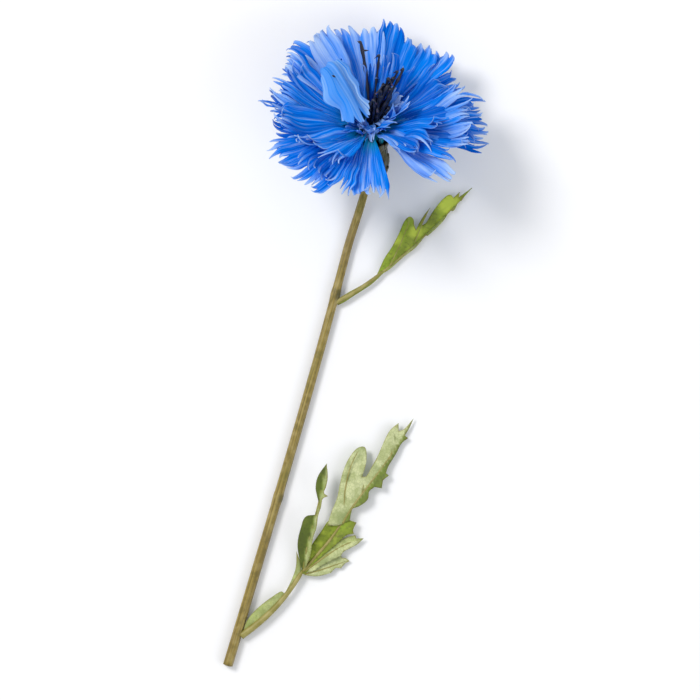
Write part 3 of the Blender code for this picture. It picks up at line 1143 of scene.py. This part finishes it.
LOWER_STALK = Sheet(  # the winged stalk
    (
        (-30.3, -117.8, 1), (-29.4, -115.4), (-27.9, -113.4), (-26.2, -111.8), (-24.4, -110.4),
        (-22.4, -109), (-21.2, -108.4), (-20.4, -108.9, 1), (-19.6, -107.4), (-18.5, -105),
        (-17.7, -102.4), (-17.6, -98.8, 1), (-16.5, -102.6), (-17.6, -106.4), (-20.6, -110.6),
        (-24, -113.8), (-27.4, -116.6),
    ),
    (
        Vein(0.9, 0.52, (-30.8, -119, 1.5), (-25.2, -115.2, 1.9), (-20.4, -110.8, 2.1), (-16, -103.2, 2)),
    ),
    Half(6, 0.5, 0.1), Half(4, 0.2, 0.3),
)
LOWER_RIGHT_LOBE = Sheet(  # the lower right lobe at the foot
    (
        (-15.9, -104.5, 1), (-11.2, -101.7), (-8.3, -100.1), (-7.2, -99.4, 1), (-6.7, -100.5, 1),
        (-5.9, -100.5), (-4.9, -101.2, 1), (-6.1, -101.8, 1), (-7, -102.9, 1), (-8.3, -102.9),
        (-9.4, -104, 1), (-12.6, -104.8),
    ),
    (
        Vein(0.2, 0.1, (-15.6, -104.2, 1.9), (-11.8, -103.6, 1.6), (-8.5, -102, 1.2), (-5.4, -101.2, 0.8)),
    ),
    Half(2, 0.85, 0), Half(3, 0.95, 0),
)
LOWER_HIGH_LOBE = Sheet(  # the right lobe above it
    (
        (-15.8, -103.6, 1), (-10.2, -98.6), (-7.3, -96.3), (-5.4, -95.5), (-3.6, -95, 1),
        (-3.3, -95.8, 1), (-1.6, -95.8, 1), (-3, -97.1), (-4.6, -98, 1), (-6.3, -98.9), (-7, -99.9, 1),
        (-11.2, -102), (-14, -103.8),
    ),
    (
        Vein(0.3, 0.1, (-15.6, -103.5, 2), (-11.5, -100.8, 2.2), (-7.2, -96.8, 1.9), (-2, -96, 1.2)),
    ),
    Half(8, 0.5, 0), Half(5, 0.8, 0),
)
LOWER_MIDDLE = Sheet(  # the middle of the leaf, its bright upper face
    (
        (-16.6, -103.8, 1), (-15.7, -100.7), (-14, -97.4), (-11.8, -94.2), (-10, -91.6), (-7.6, -90.4),
        (-5, -91.4), (-3.3, -92, 1), (-4.1, -93.7), (-3.9, -94.6, 1), (-5.7, -95), (-7.3, -96.4),
        (-10.2, -98.9), (-13.6, -101.8), (-15.5, -104.2),
    ),
    (
        Vein(0.45, 0.26, (-16.1, -103.6, 2.1), (-12.5, -99.3, 2.3), (-8.6, -95.6, 2.4), (-6.2, -90.8, 2.3)),
        Vein(0.14, 0.06, (-11.2, -97.9, 2.3), (-8.6, -96, 2.3), (-6.6, -94, 2.2), (-4.2, -92.6, 2)),
    ),
    Half(9, 0, 0), Half(4, 0.12, 0),
)
# Its right half is darkened with painted shade
LOWER_END = Sheet(  # the end of the leaf, pale underside on its left and darker face on its right
    (
        (-10.3, -92.6, 1), (-9.2, -89.2), (-8, -86.3), (-7.3, -83), (-6.6, -80.1), (-5.4, -77.2),
        (-3.6, -74.7), (-2.1, -73.9), (-1.1, -74.4), (-0.9, -76.7), (-1.3, -79.1), (-2, -81, 1),
        (-0.9, -80.9), (0.4, -78.6), (1.8, -76.1), (3.2, -72.8), (4.7, -70), (6.7, -68.3, 1),
        (6.7, -70.3, 1), (8.2, -69.6), (10.3, -67.2, 1), (9.3, -69.5), (8.2, -71.3, 1), (9, -71.9, 1),
        (7.4, -73.2), (6, -75.8), (4.4, -78.4), (3.7, -80.2, 1), (4.4, -80.8, 1), (3, -81.9, 1),
        (2.7, -83.8, 1), (1, -83.5, 1), (-0.3, -84.6), (-0.6, -86.4), (-2.3, -87.9), (-4.3, -88.7, 1),
        (-4.7, -90.2), (-4.9, -91.5, 1), (-7.4, -92.6),
    ),
    (
        Vein(0.32, 0.1, (-6.6, -92.2, 2.5), (-3.5, -85.8, 2.9), (3.8, -79.2, 1.6), (10.1, -67.5, 0.9)),
        Vein(0.22, 0.08, (-6.4, -89.6, 2.7), (-6.2, -85, 3), (-5.8, -79.5, 3.4), (-2.8, -74.8, 3.6)),
        Vein(0.1, 0.06, (-2, -84.9, 2.6), (-1.4, -82.6, 2.5), (-1.6, -81.6, 2.5), (-1.9, -80.9, 2.5)),
        Vein(0.1, 0.06, (4.6, -77, 1.7), (5.4, -74, 1.5), (5.9, -71, 1.4), (6.5, -68.9, 1.3)),
    ),
    Half(16, 0.92, 0), Half(10, 0.25, 0.45),
)
# Its left half lies in painted shade, and its right half a little
LOWER_LEFT_LOBE = Sheet(  # the left lobe at the foot, standing up and turned
    (
        (-16.3, -103.4, 1), (-17.2, -98.8), (-17.2, -95.9), (-16.4, -92.8), (-15.9, -91.2), (-15, -90.3),
        (-13.2, -90.1, 1), (-12.7, -88.6), (-12.3, -87.2), (-12.7, -85.4), (-13, -83.4), (-12.4, -80.8),
        (-10.4, -77.9, 1), (-10.2, -81), (-10.6, -83.4), (-11.1, -84.8), (-10.1, -85.6, 1),
        (-11.4, -86.3), (-11.8, -88.2), (-12.5, -90.4), (-12.9, -93.2), (-13.8, -96), (-14.3, -99.6),
        (-15.6, -103),
    ),
    (
        Vein(0.26, 0.1, (-15.9, -103, 2.2), (-15.4, -97, 4), (-12.6, -90.4, 5.2), (-10.5, -78.4, 4.4)),
    ),
    Half(20, 0.1, 0.6), Half(38, 0.6, 0.15),
)
UPPER_STALK = Sheet(  # the winged stalk
    (
        (-7.8, -38.8, 1), (-5.4, -37.3), (-3.6, -36.3), (-0.1, -34.4), (1.4, -33.2), (2.3, -31.9, 1),
        (3.3, -32.4, 1), (1.4, -34.3), (-0.6, -35.9), (-3.6, -37.8), (-6, -39.4), (-7.8, -40.3, 1),
    ),
    (
        Vein(0.62, 0.34, (-8.4, -39.6, 1.4), (-4.2, -37.6, 1.7), (-1, -35.4, 1.6), (3, -32.2, 1.3)),
    ),
    Half(8, 0.3, 0), Half(4, 0.2, 0.2),
)
UPPER_FAR_HALF = Sheet(  # the far half, standing up
    (
        (1.9, -33.2, 1), (4.3, -31.2), (10, -26), (16.6, -19.6), (23, -13.4, 1), (21.7, -15.3),
        (21.2, -15.2, 1), (19.9, -17.6), (18.9, -17.7, 1), (17.2, -20.3), (14, -23.4), (13.2, -23.6, 1),
        (10.6, -26.6), (8, -28.6), (4.6, -31.6),
    ),
    (
        Vein(0.1, 0.06, (1.2, -33.6, 1), (8, -28.6, 1.2), (15.4, -21.8, 1), (23.8, -12.7, 0.8)),
    ),
    Half(0, 0.2, 0), Half(40, 0.5, 0),
)
UPPER_NEAR_HALF = Sheet(  # the near half, with its round lobe, its sliver and its cut end
    (
        (1.4, -33.4, 1), (2.2, -31.6), (3.4, -29), (5.2, -26.3), (6.8, -23.2), (7.8, -20.8),
        (8.7, -19.5), (9.6, -19.2), (10.3, -20), (10.4, -21.2), (10.9, -22.3, 1), (11.5, -21),
        (12.6, -19.1), (14.3, -16.9, 1), (13.1, -19.2), (12.3, -21.2, 1), (13.3, -20.6), (14.8, -18.1),
        (16.6, -15.7), (18.2, -14.2), (19.2, -14), (19.8, -14.7, 1), (21.3, -13.3, 1), (21, -14.6, 1),
        (24.2, -12.3, 1), (21.8, -15), (19.7, -17.1), (16.6, -19.9), (13.1, -23.3), (10, -26.3),
        (4.3, -31.5),
    ),
    (
        Vein(0.32, 0.1, (1.2, -33.6, 1), (8, -28.6, 1.2), (15.4, -21.8, 1), (23.8, -12.7, 0.8)),
        Vein(0.12, 0.06, (4.6, -30.8, 1.9), (6.4, -27.6, 2.6), (8.4, -23, 3.6), (9.4, -19.8, 4)),
        Vein(0.1, 0.05, (10.6, -25.2, 1.9), (11.6, -22.6, 2.4), (12.8, -19.8, 2.9), (14, -17.4, 3)),
    ),
    Half(24, 0.12, 0), Half(10, 0.1, 0), ((18.6, -15.6, 5.2), (10.8, -22.8, 2.8), (6.4, -24.6, 2.2)),
)
LOWER_LEAF = (
    LOWER_STALK, LOWER_RIGHT_LOBE, LOWER_HIGH_LOBE, LOWER_MIDDLE, LOWER_END, LOWER_LEFT_LOBE,
)
UPPER_LEAF = (UPPER_STALK, UPPER_FAR_HALF, UPPER_NEAR_HALF)


def smooth_outline(outline):
    """Points round a shape, curved except at its sharp corners."""
    corners = [Vector((corner[0], corner[1], 0)) * MM + ROOT_SHIFT for corner in outline]
    last = len(corners)
    points = []
    for i, (here, corner) in enumerate(zip(corners, outline)):
        before, ahead, beyond = corners[i - 1], corners[(i + 1) % last], corners[(i + 2) % last]
        sharp_here, sharp_ahead = len(corner) > 2, len(outline[(i + 1) % last]) > 2
        leaving = (ahead - here) / 3 if sharp_here else (ahead - before) / 6
        arriving = (ahead - here) / 3 if sharp_ahead else (beyond - here) / 6
        points += interpolate_bezier(here, here + leaving, ahead - arriving, ahead, 6)[:-1]
    return points


def beside_line(points, place):
    """How far along a line of points a place lies, seen from above, and how far to the left of it."""
    best = (math.inf, 0, 0)
    for i, (here, ahead) in enumerate(zip(points, points[1:])):
        way = (ahead - here).xy
        share = min(max((place - here).xy.dot(way) / way.length_squared, 0), 1)
        off = (place - here).xy - way * share
        if off.length < best[0]:
            best = (off.length, (i + share) / (len(points) - 1), math.copysign(1, way.cross(off)))
    return best[1], best[0] * best[2]


def vein_points(vein):
    """Points along a vein from its foot."""
    return interpolate_bezier(*(Vector(point) * MM + ROOT_SHIFT for point in vein[2:]), 31)


def flat_sheet(outline):
    """A flat sheet within an outline, divided finely both ways."""
    part = bmesh.new()
    part.faces.new([part.verts.new(point) for point in outline])
    part.normal_update()
    if part.faces[:][0].normal.z < 0:
        bmesh.ops.reverse_faces(part, faces=part.faces)
    for axis in (Vector((1, 0, 0)), Vector((0, 1, 0))):
        low = min(point.dot(axis) for point in outline)
        high = max(point.dot(axis) for point in outline)
        for k in range(1, int((high - low) / LEAF_STEP) + 1):
            bmesh.ops.bisect_plane(
                part, geom=part.verts[:] + part.edges[:] + part.faces[:], dist=0.001 * MM,
                plane_co=axis * (low + k * LEAF_STEP), plane_no=axis,
            )
    bmesh.ops.triangulate(part, faces=[face for face in part.faces if len(face.verts) > 4])
    return part


def add_sheet(bm, sheet, layers):
    """A sheet cut to its outline and raised on either side of its main vein."""
    crease_layer, edge_layer, pale_layer, shade_layer, painted_highlight_layer = layers
    outline = smooth_outline(sheet.outline)
    part = flat_sheet(outline)
    border = kdtree.KDTree(len(outline))
    for i, point in enumerate(outline):
        border.insert(point, i)
    border.balance()
    main, *others = [vein_points(vein) for vein in sheet.veins]
    length = sum((b - a).length for a, b in zip(main, main[1:]))
    placed = {}
    for vert in part.verts:
        share, left = beside_line(main, vert.co)
        half = sheet.left if left > 0 else sheet.right
        off = abs(left)
        point, _, _ = path_frame(main, share)
        ripple = noise.noise(vert.co / RIPPLE_SIZE) * min(1, off / RIPPLE_START) * 0.45 * MM
        height = point.z + off * math.tan(math.radians(half.tilt)) - 0.03 * off * off / MM + ripple
        made = bm.verts.new((vert.co.x, vert.co.y, height))
        placed[vert] = made

        # Mark its veins, its edge, its pale places, and its painted shade and painted highlights
        nearest = min([off] + [abs(beside_line(line, vert.co)[1]) for line in others])
        branch = max(0, math.cos(2 * math.pi * (share * length - 0.9 * off) / BRANCH_GAP)) ** 10
        made[crease_layer] = max(1 - nearest / VEIN_REACH, 0.55 * branch)
        made[edge_layer] = 1 - min(1, border.find(vert.co)[2] / EDGE_REACH)
        leftness = smooth(0.5 + left / HALF_BLEND)
        made[pale_layer] = blend(sheet.right.pale, sheet.left.pale, leftness)
        made[shade_layer] = blend(sheet.right.shade, sheet.left.shade, leftness)
        for x, y, reach in sheet.fresh:
            away = (vert.co - Vector((x, y, 0)) * MM - ROOT_SHIFT).xy.length / MM
            made[painted_highlight_layer] = max(made[painted_highlight_layer], smooth(1 - away / reach))
    for face in part.faces:
        bm.faces.new([placed[vert] for vert in face.verts])
    part.free()


def add_vein(bm, vein):
    """A tapered vein, standing slightly proud of its sheet."""

    def radius_at(share, _angle):
        return blend(vein.start, vein.end, share) * MM * (1 - 0.7 * smooth((share - 0.94) / 0.06))

    add_tube(bm, [point + UP * VEIN_LIFT for point in vein_points(vein)], radius_at, 10, 40)


def add_leaf(name, sheets, materials, thickness):
    """A leaf in two pieces, its blade and its veins."""
    blade = bmesh.new()
    layers = float_layers(blade, ("crease", "point", "pale", "tone", "fresh"))
    for sheet in sheets:
        add_sheet(blade, sheet, layers)
    rest_on_ground(blade, 0)
    veins = bmesh.new()
    for sheet in sheets:
        for vein in sheet.veins:
            add_vein(veins, vein)
    rest_on_ground(veins, -1)
    finish_piece(blade, name + "_blade", materials[:2], name, thickness)
    finish_piece(veins, name + "_veins", materials[2:], name)


def add_leaves(settings):
    """Both leaves, which share their materials."""
    materials = (
        leaf_material("leaf_face", settings, False),
        leaf_material("leaf_reverse", settings, True),
        vein_material("leaf_vein", settings.vein_colour),
    )
    for name, sheets in (("leaf_upper", UPPER_LEAF), ("leaf_lower", LOWER_LEAF)):
        add_leaf(name, sheets, materials, settings.leaf_thickness)


class CORNFLOWER_OT_leaves(bpy.types.Operator):
    """Adds the two lobed leaves"""

    bl_idname = "cornflower.leaves"
    bl_label = "Leaves"

    def execute(self, context):
        add_leaves(context.scene.cornflower_green)
        return {"FINISHED"}


# Stage


def add_area_light(name, place, size, power, colour, target):
    """A round lamp that points at a target."""
    light = bpy.data.lights.new(name, "AREA")
    light.shape = "DISK"
    light.size = size
    light.energy = power
    light.color = colour
    lamp = add_object(name, light)
    lamp.location = place
    lamp.rotation_euler = (target - Vector(place)).to_track_quat("-Z", "Y").to_euler()


def add_floor(colour):
    """A wide flat floor, which is no piece of the flower."""
    bm = bmesh.new()
    bmesh.ops.create_grid(bm, x_segments=1, y_segments=1, size=4)
    mesh = bpy.data.meshes.new("floor")
    bm.to_mesh(mesh)
    bm.free()
    mesh.materials.append(floor_material("floor_pale", colour))
    floor = add_object("floor", mesh)


def add_sky(scene):
    """Soft light from all round."""
    scene.world = bpy.data.worlds.new("soft_sky")
    scene.world.use_nodes = True
    sky = scene.world.node_tree.nodes["Background"]
    sky.inputs["Color"].default_value = (0.96, 0.98, 1, 1)
    sky.inputs["Strength"].default_value = 0.7


def add_camera(scene, height, middle, tall):
    """A camera that looks straight down and takes in a height of view about a middle."""
    camera = bpy.data.cameras.new("camera")
    camera.lens = camera.sensor_width * (height - middle.z) / tall
    camera.clip_end = 20
    scene.camera = add_object("camera", camera)
    scene.camera.location = (middle.x, middle.y, height)
    scene.view_settings.view_transform = "Standard"


class CORNFLOWER_OT_stage(bpy.types.Operator):
    """Adds the floor, the lights and the camera"""

    bl_idname = "cornflower.stage"
    bl_label = "Stage"

    def execute(self, context):
        settings = context.scene.cornflower_stage
        low, high = cad_box
        middle = (low + high) / 2
        key, fill = settings.key_power, settings.key_power * 0.3
        add_floor(settings.floor_colour)
        add_area_light("key_light", (-0.7, 0.55, 1.1), 0.5, key, (1, 0.985, 0.96), middle)
        add_area_light("fill_light", (0.9, -0.5, 0.9), 0.9, fill, (0.95, 0.97, 1), middle)
        add_sky(context.scene)
        add_camera(context.scene, settings.camera_height, middle, (high.y - low.y) * 1.09)
        return {"FINISHED"}


class CORNFLOWER_PT_panel(bpy.types.Panel):
    """Lists the steps that build the flower"""

    bl_idname = "CORNFLOWER_PT_panel"
    bl_label = "Cornflower"
    bl_space_type = "VIEW_3D"
    bl_region_type = "UI"
    bl_category = "Cornflower"

    def draw(self, context):
        for group in ("cornflower_bloom", "cornflower_green", "cornflower_stage"):
            settings = getattr(context.scene, group)
            box = self.layout.box()
            for name in settings.bl_rna.properties.keys():
                if name not in ("rna_type", "name"):
                    box.prop(settings, name)
        for operator in OPERATORS:
            self.layout.operator(operator.bl_idname)


OPERATORS = (
    CORNFLOWER_OT_ray_petals,
    CORNFLOWER_OT_inner_petals,
    CORNFLOWER_OT_anthers,
    CORNFLOWER_OT_cup,
    CORNFLOWER_OT_stem,
    CORNFLOWER_OT_leaves,
    CORNFLOWER_OT_stage,
)
CLASSES = (BloomSettings, GreenSettings, StageSettings, *OPERATORS, CORNFLOWER_PT_panel)


def register():
    for made in CLASSES:
        bpy.utils.register_class(made)
    bpy.types.Scene.cornflower_bloom = bpy.props.PointerProperty(type=BloomSettings)
    bpy.types.Scene.cornflower_green = bpy.props.PointerProperty(type=GreenSettings)
    bpy.types.Scene.cornflower_stage = bpy.props.PointerProperty(type=StageSettings)


def unregister():
    del bpy.types.Scene.cornflower_stage
    del bpy.types.Scene.cornflower_green
    del bpy.types.Scene.cornflower_bloom
    for made in reversed(CLASSES):
        bpy.utils.unregister_class(made)


def main():
    """Builds the whole flower."""
    register()
    bpy.ops.cornflower.ray_petals()
    bpy.ops.cornflower.inner_petals()
    bpy.ops.cornflower.anthers()
    bpy.ops.cornflower.cup()
    bpy.ops.cornflower.stem()
    bpy.ops.cornflower.leaves()
    bpy.ops.cornflower.stage()
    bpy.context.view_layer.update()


if __name__ == "__main__":
    main()
